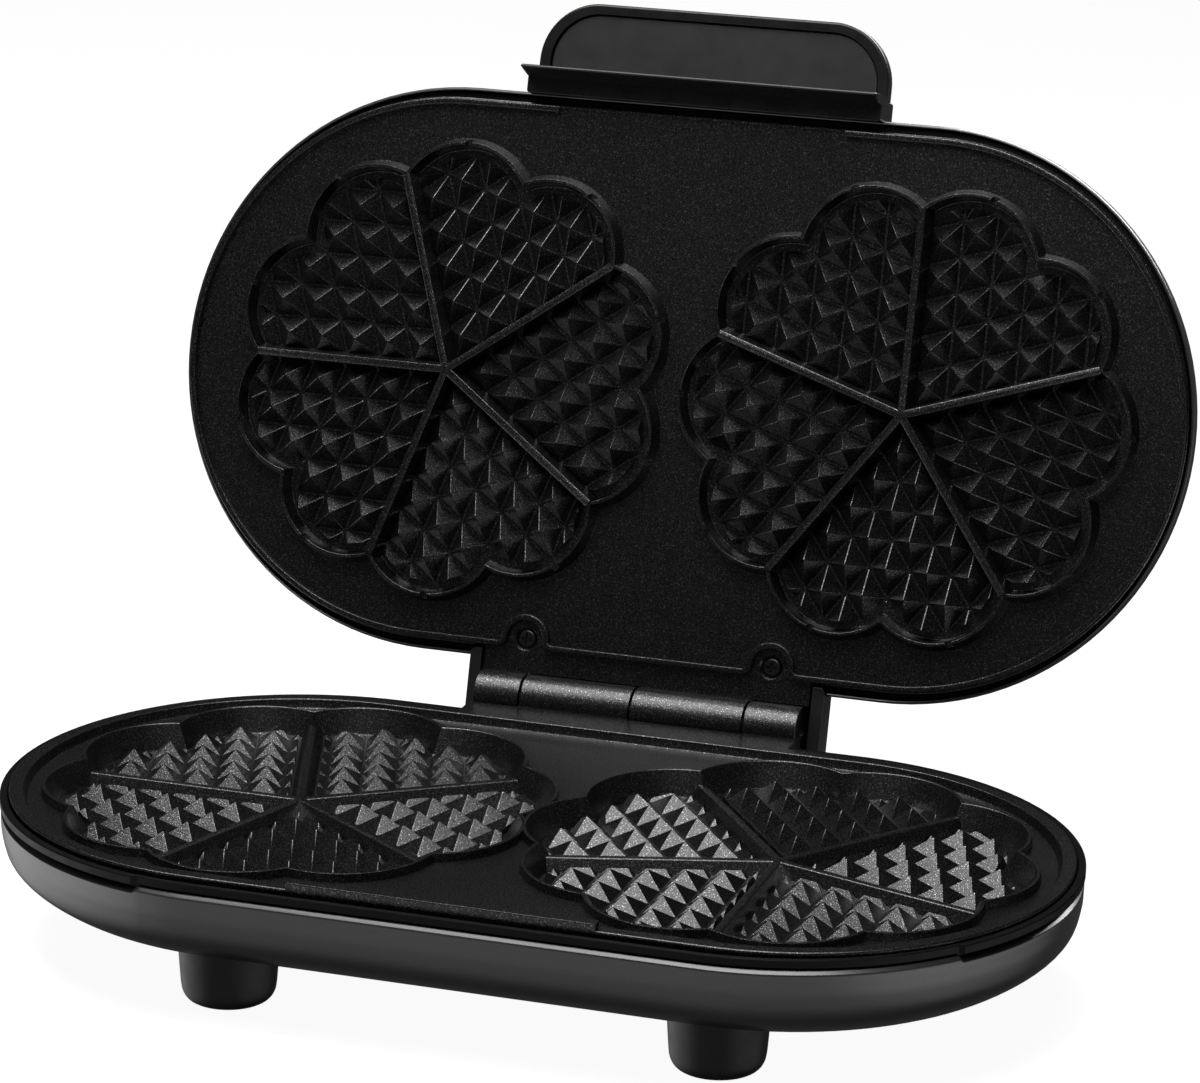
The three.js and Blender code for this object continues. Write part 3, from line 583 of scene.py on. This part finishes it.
# ---- lower baking plate -------------------------------------------------------
def lower_plate():
    prof = [(RIM_R - 2.2, DECK_Z - PLATE_T), (RIM_R - 0.5, DECK_Z - PLATE_T + 0.6), (RIM_R, DECK_Z - PLATE_T + 1.6)]
    prof += arc2(RIM_R - 0.7, RIM_Z - 0.7, 0.7, 0, 90, 4)
    prof += arc2(RIM_IN + 0.9, RIM_Z - 0.5, 0.5, 90, 180, 3)
    prof += [(RIM_IN - 0.3, DECK_Z + 0.7), (RIM_IN - 0.75, DECK_Z + 0.22), (RIM_IN - 1.6, DECK_Z)]
    o = make(loft([at(stadium(r), z) for r, z in prof]))
    plus(o, block(-62, 94, RIM_Z - 7, 62, HINGE_Y - 3, RIM_Z, 1.0, 0.5, bottom=False))
    plus(o, block(-TAB_X, BODY_Y - RIM_R, RIM_Z - 3, TAB_X, BODY_Y - RIM_R + 4.2, RIM_Z + 2.4, 0.8, 0.45, bottom=False))
    for cx, lo, _ in MOULDS:
        plus(o, loft([at(lobed(cx, lo, 1, 1.7), DECK_Z - 0.5), at(lobed(cx, lo, 1, 1.62), DECK_Z + 0.35), at(lobed(cx, lo, 1, 1.36), LIP_Z - 0.4),
                      at(lobed(cx, lo, 1, 1.2), LIP_Z - 0.1), at(lobed(cx, lo, 1, 0.95), LIP_Z)]))
        plus(o, prism(circle(90, cx, 0, 96), CAV_Z - PLATE_T, DECK_Z - PLATE_T + 0.5))
    for cx, lo, _ in MOULDS:
        d = lambda h: -4.1 + 0.445 * h
        minus(o, loft([at(lobed(cx, lo, 1, q), z) for q, z in (
            (-4.75, CAV_Z), (-4.3, CAV_Z + 0.12), (-3.75, CAV_Z + 0.8), (d(8.85), CAV_Z + 8.85), (0.14, CAV_Z + 9.12), (0.4, CAV_Z + 9.2), (0.6, CAV_Z + 9.6))]))
    ribs = None
    for cx, lo, _ in MOULDS:
        sec = [(4.0, CAV_Z - 1), (3.9, CAV_Z), (1.62, RIDGE_Z - 0.45), (1.4, RIDGE_Z - 0.16), (1.05, RIDGE_Z), (0.18, RIDGE_Z + 0.1), (0, RIDGE_Z + 0.12)]
        r = None
        for k in range(5):
            s = make(ridge(cx, 1, lo + k * 2 * PI / 5, 0, CUSP_R + 0.2, sec))
            r = s if r is None else cut(r, s, "UNION")
        ribs = r if ribs is None else merge(ribs, r)
    plus(o, ribs)
    f = None
    for cx, lo, _ in MOULDS:
        h = hearts(cx, 1, lo, ROW_LO, PITCH_LO, 0.45, (CAV_Z - 1, CAV_Z, APEX_Z), -6.6, 4.9)
        f = h if f is None else merge(f, h)
    plus(o, f)
    for a, b in ((0, 1), (2, 3)):
        minus(o, bar_x(BARREL_R + 0.8, KNUCKLES[a] - (0 if a else 3), KNUCKLES[b], HINGE_Y, HINGE_Z))
    for a, b in ((1, 2), (3, 4)):
        plus(o, bar_x(BARREL_R, KNUCKLES[a] + 0.3, KNUCKLES[b] - (0.3 if b < 4 else 0), HINGE_Y, HINGE_Z, 64, 0.5))
    minus(o, bar_x(PIN_R + 0.3, -70, 70, HINGE_Y, HINGE_Z, 32))
    bosses = [(-44, 82), (44, 82), (0, -82)]
    for x, y in bosses:
        plus(o, prism(circle(4.2, x, y, 24), CAV_Z - PLATE_T, DECK_Z - 1))
        minus(o, prism(circle(1.9, x, y, 16), CAV_Z - PLATE_T - 1, DECK_Z - 2.2))
    return piece(o, "lower_baking_plate", "base", ["lower_plate"], "nonstick_casting")


# ---- upper baking plate ---------------------------------------------------------
def bead_path():
    R, path = UP_EDGE_R - 1.6, []
    top = BODY_Y + R
    n = 56
    for i in range(n + 1):
        t = -PI / 2 + PI * i / n
        path.append((END_X + R * math.cos(t), BODY_Y + R * math.sin(t)))
    for sx in (SCREW_X, -SCREW_X):
        q, w = top - SCREW_Y, 8.0
        for i in range(6):
            t = PI / 2 + PI / 2 * i / 5
            path.append((sx + w + q + q * math.cos(t), top - q + q * math.sin(t)))
        for i in range(1, 18):
            t = PI * i / 18
            path.append((sx + w * math.cos(t), SCREW_Y - w * math.sin(t)))
        for i in range(6):
            t = PI / 2 * i / 5
            path.append((sx - w - q + q * math.cos(t), top - q + q * math.sin(t)))
    for i in range(n + 1):
        t = PI / 2 + PI * i / n
        path.append((-END_X + R * math.cos(t), BODY_Y + R * math.sin(t)))
    return path


def upper_plate():
    o = make(loft([at(stadium(r), z) for r, z in ((UP_EDGE_R - 0.35, UP_DECK_Z), (UP_EDGE_R, UP_DECK_Z + 0.35), (UP_EDGE_R, UP_DECK_Z + PLATE_T))]))
    plus(o, block(-62, 94, UP_DECK_Z, 62, HINGE_Y - 3, UP_DECK_Z + 4.5, 0.8, 0.3))
    bead = make(sweep(bead_path(), [(-1.1, UP_DECK_Z + 0.6), (-1.1, UP_BEAD_Z + 0.55), (-0.95, UP_BEAD_Z + 0.18), (-0.6, UP_BEAD_Z), (0.6, UP_BEAD_Z),
                                    (0.95, UP_BEAD_Z + 0.18), (1.1, UP_BEAD_Z + 0.55), (1.1, UP_DECK_Z + 0.6)]))
    minus(bead, box(-54, -110, UP_BEAD_Z - 1, 54, -90, UP_DECK_Z + 1))
    plus(o, bead)
    minus(o, prism(roundrect(-53.8, BODY_Y - UP_EDGE_R + 1.2, 53.8, BODY_Y - UP_EDGE_R + 6.2, 0.8), UP_DECK_Z - 1, UP_DECK_Z + 0.55))
    for cx, _, up in MOULDS:
        d = UP_WALL_D
        plus(o, loft([at(lobed(cx, up, -1, q), z) for q, z in (
            (d - 0.45, UP_WALL_Z), (d - 0.25, UP_WALL_Z + 0.08), (d - 0.1, UP_WALL_Z + 0.3), (d + 1.25, UP_DECK_Z - 0.4), (d + 1.5, UP_DECK_Z - 0.05),
            (d + 1.7, UP_DECK_Z + 0.5), (-3, UP_FLOOR_Z + PLATE_T))]))
    for cx, _, up in MOULDS:
        d = UP_WALL_D
        minus(o, loft([at(lobed(cx, up, -1, q), z) for q, z in (
            (d - 0.9, UP_WALL_Z - 0.5), (d - 1.05, UP_WALL_Z), (d - 1.22, UP_WALL_Z + 0.1), (d - 1.36, UP_WALL_Z + 0.35), (d - 2.2, UP_FLOOR_Z - 0.7),
            (d - 2.5, UP_FLOOR_Z - 0.15), (d - 2.95, UP_FLOOR_Z))]))
    ribs = None
    for cx, _, up in MOULDS:
        sec = [(3.0, UP_FLOOR_Z + 1), (2.95, UP_FLOOR_Z), (1.5, UP_RIDGE_Z + 0.6), (1.32, UP_RIDGE_Z + 0.2), (1.0, UP_RIDGE_Z + 0.02), (0.15, UP_RIDGE_Z - 0.12), (0, UP_RIDGE_Z - 0.15)]
        r = None
        for k in range(5):
            s = make(ridge(cx, -1, up + k * 2 * PI / 5, 0, 73.6, sec))
            r = s if r is None else cut(r, s, "UNION")
        ribs = r if ribs is None else merge(ribs, r)
    plus(o, ribs)
    f = None
    for cx, _, up in MOULDS:
        h = hearts(cx, -1, up, ROW_UP, PITCH_UP, 0.9, (UP_FLOOR_Z + 1, UP_FLOOR_Z, UP_APEX_Z), UP_WALL_D - 5.3, 3.0)
        f = h if f is None else merge(f, h)
    plus(o, f)
    notches = []
    for cx, _, up in MOULDS:
        for k in range(10):
            t = up + (k + 0.5) * PI / 5
            d = (math.sin(t), -math.cos(t))
            n = (-d[1], d[0])
            q = [(cx + d[0] * s + n[0] * w, d[1] * s + n[1] * w) for s, w in ((78.5, -1.3), (87, -1.3), (87, 1.3), (78.5, 1.3))]
            if area(q) < 0:
                q.reverse()
            notches.append(prism(q, UP_WALL_Z - 1, UP_WALL_Z + 3.2))
    minus(o, join(notches))
    for a, b in ((1, 2), (3, 4)):
        minus(o, bar_x(BARREL_R + 0.8, KNUCKLES[a], KNUCKLES[b] + (0 if b < 4 else 3), HINGE_Y, HINGE_Z))
    for a, b in ((0, 1), (2, 3)):
        plus(o, bar_x(BARREL_R, KNUCKLES[a] + (0.3 if a else 0), KNUCKLES[b] - 0.3, HINGE_Y, HINGE_Z, 64, 0.5))
    minus(o, bar_x(PIN_R + 0.3, -70, 70, HINGE_Y, HINGE_Z, 32))
    for x in (-SCREW_X, SCREW_X):
        plus(o, prism(circle(5.5, x, SCREW_Y, 32), UP_DECK_Z + 1, UP_DECK_Z + 5))
        minus(o, turned([(4.5, UP_DECK_Z - 1), (4.5, UP_DECK_Z - 0.01), (4.0, UP_DECK_Z + 0.45), (3.7, UP_DECK_Z + 0.9), (3.7, UP_DECK_Z + 2.4)], x, SCREW_Y))
        minus(o, prism(circle(1.9, x, SCREW_Y, 24), UP_DECK_Z, UP_DECK_Z + 7))
    return piece(o, "upper_baking_plate", "lid", ["upper_plate"], "nonstick_casting", lid=True)


# ---- housings -------------------------------------------------------------------
FOOT_X, FOOT_Y, REAR_FOOT_Y = 86.0, 66.0, 80.0
FEET = [("front_left", -FOOT_X, -FOOT_Y), ("front_right", FOOT_X, -FOOT_Y), ("rear_left", -FOOT_X, REAR_FOOT_Y), ("rear_right", FOOT_X, REAR_FOOT_Y)]
GLAND_X, GLAND_Z = -80.0, 40.0


def in_front(x, y, cx):
    """True along the front of the housing, between the two steps of its edge."""
    if x >= cx:
        return math.atan2(y - BODY_Y, x - cx) < STEP_R
    if x <= -cx:
        return math.atan2(y - BODY_Y, x + cx) % (2 * PI) > STEP_L
    return y < BODY_Y


def raised(pts, z, h, cx=88.0):
    """Ring whose height is lifted by h along the front, between the two steps."""
    return [(x, y, z + (h if in_front(x, y, cx) else 0.0)) for x, y in pts]


def drawn_in(r, k, z, cx):
    """Ring of radius r, drawn in by k along the front."""
    return [(b if in_front(a[0], a[1], cx) else a) + (z,) for a, b in zip(map(tuple, stadium(r, cx)), map(tuple, stadium(r - k, cx)))]


def base_shell():
    outer = spline([(72.6, 17.4), (84.6, 19.4), (93.6, 24.3), (99.9, 30.4), (102.1, 37.4), (102.5, 42.6), (102.5, 44.3)], 5)
    inner = spline([(100.1, 44.3), (99.9, 37.4), (97.6, 31.7), (92.0, 26.3), (83.8, 21.6), (72.6, 19.5)], 3)
    # rolled upper edge
    lip = [(102.5, 44.6, 0.5), (102.44, 44.8, 0.9), (102.28, 44.98, 1.0), (101.05, 45.92, 1.0), (100.85, 46.02, 1.0), (100.6, 46.06, 1.0), (100.3, 46.0, 1.0), (100.1, 45.6, 0.9)]
    rings = [at(stadium(r, BOWL_X), z) for r, z in outer]
    rings += [raised(stadium(r, BOWL_X), z, 1.0 * k, BOWL_X) for r, z, k in lip]
    rings += [at(stadium(r, BOWL_X), z) for r, z in inner]
    o = make(loft(rings))
    minus(o, box(-62.6, 92, 44.5, 62.6, 112, 60))
    for _, x, y in FEET:
        minus(o, prism(circle(2.1, x, y, 16), 15, 32))
    minus(o, bar_y([(5.4, 94), (5.4, 106)], GLAND_X, GLAND_Z))
    return piece(o, "base_housing", "base", ["base_shell"], "grey_shell")


def base_ring():
    p = [(92.9, 43, 0), (99.7, 43, 0), (99.75, 47.6, 0), (102.6, 47.7, 1.5), (102.85, 47.9, 1.5), (102.85, 50.3, 1.5), (102.6, 50.6, 1.5), (100.4, 50.7, 0.3), (100.1, 50.4, 0.1), (100.0, 45, 0), (92.9, 45, 0)]
    o = make(orient(*loft([drawn_in(r, k, z, BOWL_X) for r, z, k in p], True)))
    minus(o, box(-62.6, 92, 42, 62.6, 112, 60))
    # black plastic ring, darkened further as painted shade of the gap under the plate rim
    return piece(o, "base_gap_ring", "base", ["base_ring"], "black_plastic", "black_ring_painted_gap_shade")


def feet():
    for n, x, y in FEET:
        o = make(turned(spline([(9.6, -2.4), (11.9, -2.2), (14.0, -1.3), (15.4, 0.5), (16.1, 3.0), (16.5, 7.5), (17.0, 15), (17.6, 24), (18.2, 33)], 3), x, y, 48))
        outer = spline([(71.6, 17.0), (84.8, 19.0), (94.0, 23.95), (100.3, 30.1), (102.6, 37.3)], 4)
        minus(o, loft([at(stadium(r, BOWL_X), z) for r, z in outer]))
        minus(o, turned([(4.6, -3.4), (4.6, -2.4), (4.2, -1.9), (4.2, 8)], x, y, 32))
        minus(o, prism(circle(2, x, y, 16), 7, 22))
        piece(o, "foot_" + n + "_moulded", "base", ["foot_" + n], "foot_rubber")


def lid_shell():
    outer = spline([(103.5, 57.2), (103.6, 62), (101.6, 68.5), (96.5, 74.6), (89, 79.6), (79, 82.8), (68, 84)], 5)
    inner = spline([(68, 82), (78.4, 80.9), (87.6, 77.9), (94.6, 73.4), (99.6, 67.8), (102.0, 61.4), (102.4, 57.2)], 3)
    lip = [(102.5, 56.75), (102.85, 56.6), (103.3, 56.75)]
    o = make(loft([at(stadium(r, LIDCAP_X), z) for r, z in inner + lip + outer]))
    for x in (-SCREW_X, SCREW_X):
        plus(o, prism(circle(3.6, x, SCREW_Y, 24), 61, 74.5))
        minus(o, prism(circle(1.9, x, SCREW_Y, 16), 60, 70))
    minus(o, block(-67.9, 99.4, 50, 67.9, 135, 66.4, 0.6, 0.3))
    for x in (-9, 9):
        minus(o, turned([(3.4, 78), (3.4, 83.2), (3.75, 83.9), (4.3, 84.2), (4.3, 90)], x, -60, 32))
    for x in (-40, 40):
        minus(o, bar_y([(2.2, -108), (2.2, -96)], x, 64))
    return piece(o, "lid_housing", "lid", ["lid_shell"], "grey_shell", lid=True)


def lid_ring():
    p = [(93, 58.7), (101.5, 58.7), (101.9, 58.9), (101.9, 60.2), (93, 60.2)]
    o = make(orient(*loft([at(stadium(r, LIDCAP_X), z) for r, z in p], True)))
    minus(o, box(-67.9, 90, 50, 67.9, 112, 61))
    # black plastic ring, darkened further as painted shade of the gap above the upper plate
    return piece(o, "lid_gap_ring", "lid", ["lid_ring"], "black_plastic", "black_ring_painted_gap_shade", lid=True)


def hinge_cover():
    o = make(block(-67.5, 99.8, 54.5, 67.5, 129, 66, 2.2, 0.9))
    minus(o, block(-62.9, 99, 50, 62.9, 126.6, 62, 1.2, 0.4))
    return piece(o, "hinge_cover_block", "lid", ["hinge_cover"], "black_plastic", lid=True)


# ---- handle ---------------------------------------------------------------------
def d_tab(w, y0, y1, r, n=18):
    p = [(-w, y0)]
    for i in range(n + 1):
        t = PI + PI / 2 * i / n
        p.append((-w + r + r * math.cos(t), y1 + r + r * math.sin(t)))
    for i in range(n + 1):
        t = -PI / 2 + PI / 2 * i / n
        p.append((w - r + r * math.cos(t), y1 + r + r * math.sin(t)))
    p.append((w, y0))
    return p


def handle():
    rings = []
    for i, z in ((1.0, 61.3), (0.55, 61.42), (0.2, 61.75), (0, 62.3), (0, 66.3), (0.25, 67.1), (0.8, 67.8), (1.6, 68.25), (2.4, 68.3)):
        rings.append(at(d_tab(66.2 - i, -104, HANDLE_Y + i, 22 - i), z))
    o = make(loft(rings))
    minus(o, loft([at(d_tab(61.9 + i, -113.2, HANDLE_Y + 3.8 - i, 18.4 + i), z) for i, z in ((0, 64.4), (0, 61.75), (0.15, 61.45), (0.45, 61.3), (0.6, 61.2), (0.6, 60))][::-1]))
    # finger lip: a thin shelf across the whole handle, thicker at its root
    x, v = 66.7, [(-113.2, 62.5), (-113.2, 42.6), (-113.0, 42.0), (-112.6, 41.8), (-112.1, 42.0), (-111.6, 43.6), (-110.6, 47.0), (-109.6, 50.6), (-109.0, 54.0), (-109.0, 62.5)]
    e = 0.5
    plus(o, orient(*loft([[(-x, y if i in (0, 9) else y + (0.25 if y < -112.2 else -0.25), z + (0.3 if z < 60 else 0)) for i, (y, z) in enumerate(v)],
                          [(-x + e, y, z) for y, z in v], [(x - e, y, z) for y, z in v],
                          [(x, y if i in (0, 9) else y + (0.25 if y < -112.2 else -0.25), z + (0.3 if z < 60 else 0)) for i, (y, z) in enumerate(v)]])))
    plus(o, block(-66.8, -111.5, 51.8, 66.8, -103.5, 69, 1.2, 0.6))
    for x in (-40, 40):
        minus(o, bar_y([(1.9, -110), (1.9, -100)], x, 64, 20))
    return piece(o, "handle_frame", "lid", ["handle"], "black_gloss", lid=True)


def handle_cover():
    rings = [at(d_tab(61.5 - i, -113.7, HANDLE_Y + 4.2 + i, 18 - i), z) for i, z in ((0.5, 62.6), (0.2, 62.68), (0, 62.95), (0, 64.1))]
    return piece(make(loft(rings)), "handle_insert", "lid", ["handle_cover"], "black_plastic", "insert_black", lid=True)


# ---- small parts ----------------------------------------------------------------
def plate_screws():
    for s, x in (("left", -SCREW_X), ("right", SCREW_X)):
        o = make(turned([(2.4, 55.78), (2.9, 55.85), (3.2, 56.1), (3.3, 56.5), (3.3, 57.3), (1.6, 57.35), (1.6, 69)], x, SCREW_Y, 32))
        c = make(block(x - 2, SCREW_Y - 0.45, 55, x + 2, SCREW_Y + 0.45, 56.8, 0.2, 0.1))
        plus(c, block(x - 0.45, SCREW_Y - 2, 55, x + 0.45, SCREW_Y + 2, 56.8, 0.2, 0.1))
        minus(o, c)
        piece(o, "lid_plate_screw_" + s + "_turned", "lid", ["lid_plate_screw_" + s], "zinc_steel", "dark_steel", lid=True)


def lenses():
    for s, x, c in (("power", -9, "red_lens"), ("ready", 9, "green_lens")):
        o = turned([(4.4, 80.2), (4.4, 81.5), (4.2, 81.6), (3.05, 81.62), (3.0, 84.0), (2.8, 84.45), (2.2, 84.65), (1.2, 84.72)], x, -60, 32)
        piece(make(o), s + "_lens_moulded", "lid", [s + "_lens"], c, lid=True)


def rear_parts():
    o = make(bar_y([(5, 98.7), (5, 101.6), (7.2, 101.7), (7.6, 102.0), (7.6, 104.0), (7.2, 104.4), (5.8, 104.5), (5.6, 104.9), (5.3, 110.8), (4.9, 111.4)], GLAND_X, GLAND_Z))
    minus(o, bar_y([(3.5, 90), (3.5, 110.8), (3.8, 111.5), (3.8, 120)], GLAND_X, GLAND_Z))
    piece(o, "cord_gland_moulded", "base", ["cord_gland"], "black_plastic")
    o = make(block(-42, 101.6, 31, 42, 105, 44.2, 0.8, 0.4))
    plus(o, block(-42, 102.4, 33.5, 42, 115.1, 41.4, 1.2, 0.6))
    piece(o, "lid_stop_moulded", "base", ["lid_stop"], "black_plastic")


lower_plate()
upper_plate()
base_shell()
base_ring()
feet()
lid_shell()
lid_ring()
hinge_cover()
handle()
handle_cover()
plate_screws()
lenses()
rear_parts()

# ---- carried-over nodes: materials by the record's slot ---------------------------
slot_of = {}
for entry in frame["record"]["materials"]:
    for n in entry.get("nodes", []):
        slot_of[n] = entry["slot"]
for n, o in frame["nodes"].items():
    s = slot_of.get(n)
    mat = M.get(s, M["zinc_steel"])
    o.data.materials.clear()
    o.data.materials.append(mat)

# ---- floor, light and camera --------------------------------------------------------
sc = bpy.context.scene
sc.view_settings.view_transform = "Standard"


def floor():
    me = bpy.data.meshes.new("floor")
    s, n = 6.0, 8
    v = [(-s + 2 * s * i / n, -s + 2 * s * j / n, 0.0) for j in range(n + 1) for i in range(n + 1)]
    f = [(j * (n + 1) + i, j * (n + 1) + i + 1, (j + 1) * (n + 1) + i + 1, (j + 1) * (n + 1) + i) for j in range(n) for i in range(n)]
    me.from_pydata(v, [], f)
    o = bpy.data.objects.new("floor", me)
    sc.collection.objects.link(o)
    m, nt, b = node_material("floor_paint", (0.35, 0.35, 0.35), 0.9, 0.0, 0.0)
    nt.links.new(ramp(nt, noise(nt, 3, 3.0), [(0.3, (0.34, 0.34, 0.34)), (0.7, (0.36, 0.36, 0.36))]), b.inputs["Base Color"])
    b.inputs["Emission Color"].default_value, b.inputs["Emission Strength"].default_value = (1, 1, 1, 1), 0.94
    o.visible_diffuse = o.visible_glossy = False
    me.materials.append(m)


floor()


def lamp(name, loc, target, w, h, watts):
    l = bpy.data.lights.new(name, "AREA")
    l.shape, l.size, l.size_y, l.energy = "RECTANGLE", w, h, watts
    o = bpy.data.objects.new(name, l)
    o.location = loc
    o.rotation_euler = (Vector(target) - Vector(loc)).to_track_quat("-Z", "Y").to_euler()
    sc.collection.objects.link(o)
    return o


AZ, EL, ROLL = math.radians(17.8127), math.radians(16.8631), math.radians(1.0666)
back = Vector((math.sin(AZ) * math.cos(EL), -math.cos(AZ) * math.cos(EL), math.sin(EL)))
right = Vector((math.cos(AZ), math.sin(AZ), 0))
up = back.cross(right)
mid = Vector((0, SHIFT_Y * MM, (LIP_Z + SHIFT_Z) * MM))
eye = mid + back * 1.703377 + right * 0.0181847 + up * 0.0879154
r2 = right * math.cos(ROLL) + up * math.sin(ROLL)
u2 = up * math.cos(ROLL) - right * math.sin(ROLL)

fwd = Vector((math.sin(-AZ), math.cos(AZ), 0))      # away from the camera, level
side = right
lamp("overhead", mid + side * -0.17 - fwd * 0.01 + Vector((0, 0, 1.0)), mid + side * -0.10 + fwd * 0.02, 1.2, 0.7, 12.0)
# soft fill for the back, which the front never sees
rear = lamp("rear_fill", (0.3, 1.15, 0.75), (0.0, 0.15, 0.15), 1.0, 0.6, 16)
rear.visible_camera = False
lit = bpy.data.collections.new("lit_from_behind")
for n in ("lid_housing", "base_housing", "hinge_cover_block", "lid_stop_moulded", "cord_gland_moulded", "power_lens_moulded", "ready_lens_moulded",
          "handle_frame", "foot_rear_left_moulded", "foot_rear_right_moulded"):
    lit.objects.link(bpy.data.objects[n])
rear.light_linking.receiver_collection = lit

w = bpy.data.worlds.new("studio")
sc.world = w
w.use_nodes = True
nt = w.node_tree
bg = nt.nodes["Background"]
lp = nt.nodes.new("ShaderNodeLightPath")
bg2 = nt.nodes.new("ShaderNodeBackground")
mx = nt.nodes.new("ShaderNodeMixShader")
# dim room above the bench; the bench itself is darker in front and bright towards the backdrop
tc = nt.nodes.new("ShaderNodeTexCoord")
sep = nt.nodes.new("ShaderNodeSeparateXYZ")
nt.links.new(tc.outputs["Generated"], sep.inputs[0])


def term(op, *vals):
    n = nt.nodes.new("ShaderNodeMath")
    n.operation = op
    for i, v in enumerate(vals):
        if isinstance(v, bpy.types.NodeSocket):
            nt.links.new(v, n.inputs[i])
        else:
            n.inputs[i].default_value = v
    return n.outputs[0]


X, Y, Z = sep.outputs["X"], sep.outputs["Y"], sep.outputs["Z"]
below = term("MULTIPLY", remap(nt, Z, -0.01, -0.14, 0.0, 1.0), remap(nt, Z, -0.95, -0.45, 0.25, 1.0))
front = remap(nt, Y, 0.3, -0.5, 0.03, 0.42)
left = remap(nt, X, -0.50, -0.93, 0.0, 1.35)
far = remap(nt, X, 0.55, 0.95, 0.0, 0.8)
level = term("MULTIPLY", below, term("ADD", front, term("ADD", left, far)))
glow = term("MULTIPLY", remap(nt, Z, 0.30, 0.50, 0.0, 0.07), remap(nt, Y, -0.45, -0.75, 0.0, 1.0))
mul = term("ADD", term("ADD", level, glow), 0.03)
nt.links.new(mul, bg.inputs["Strength"])
bg.inputs["Color"].default_value = (1, 1, 1, 1)
bg2.inputs["Color"].default_value, bg2.inputs["Strength"].default_value = (1, 1, 1, 1), 1.0
nt.links.new(lp.outputs["Is Camera Ray"], mx.inputs[0])
nt.links.new(bg.outputs[0], mx.inputs[1])
nt.links.new(bg2.outputs[0], mx.inputs[2])
nt.links.new(mx.outputs[0], nt.nodes["World Output"].inputs["Surface"])

cam = bpy.data.cameras.new("view")
cam.sensor_width, cam.lens = 36.0, 149.774
cam.shift_x, cam.shift_y = 0.0051, 0.01448
cam.clip_start, cam.clip_end = 0.05, 50
co = bpy.data.objects.new("view", cam)
m = Matrix.Identity(4)
for i in range(3):
    m[i][0], m[i][1], m[i][2], m[i][3] = r2[i], u2[i], back[i], eye[i]
co.matrix_world = m
sc.collection.objects.link(co)
sc.camera = co
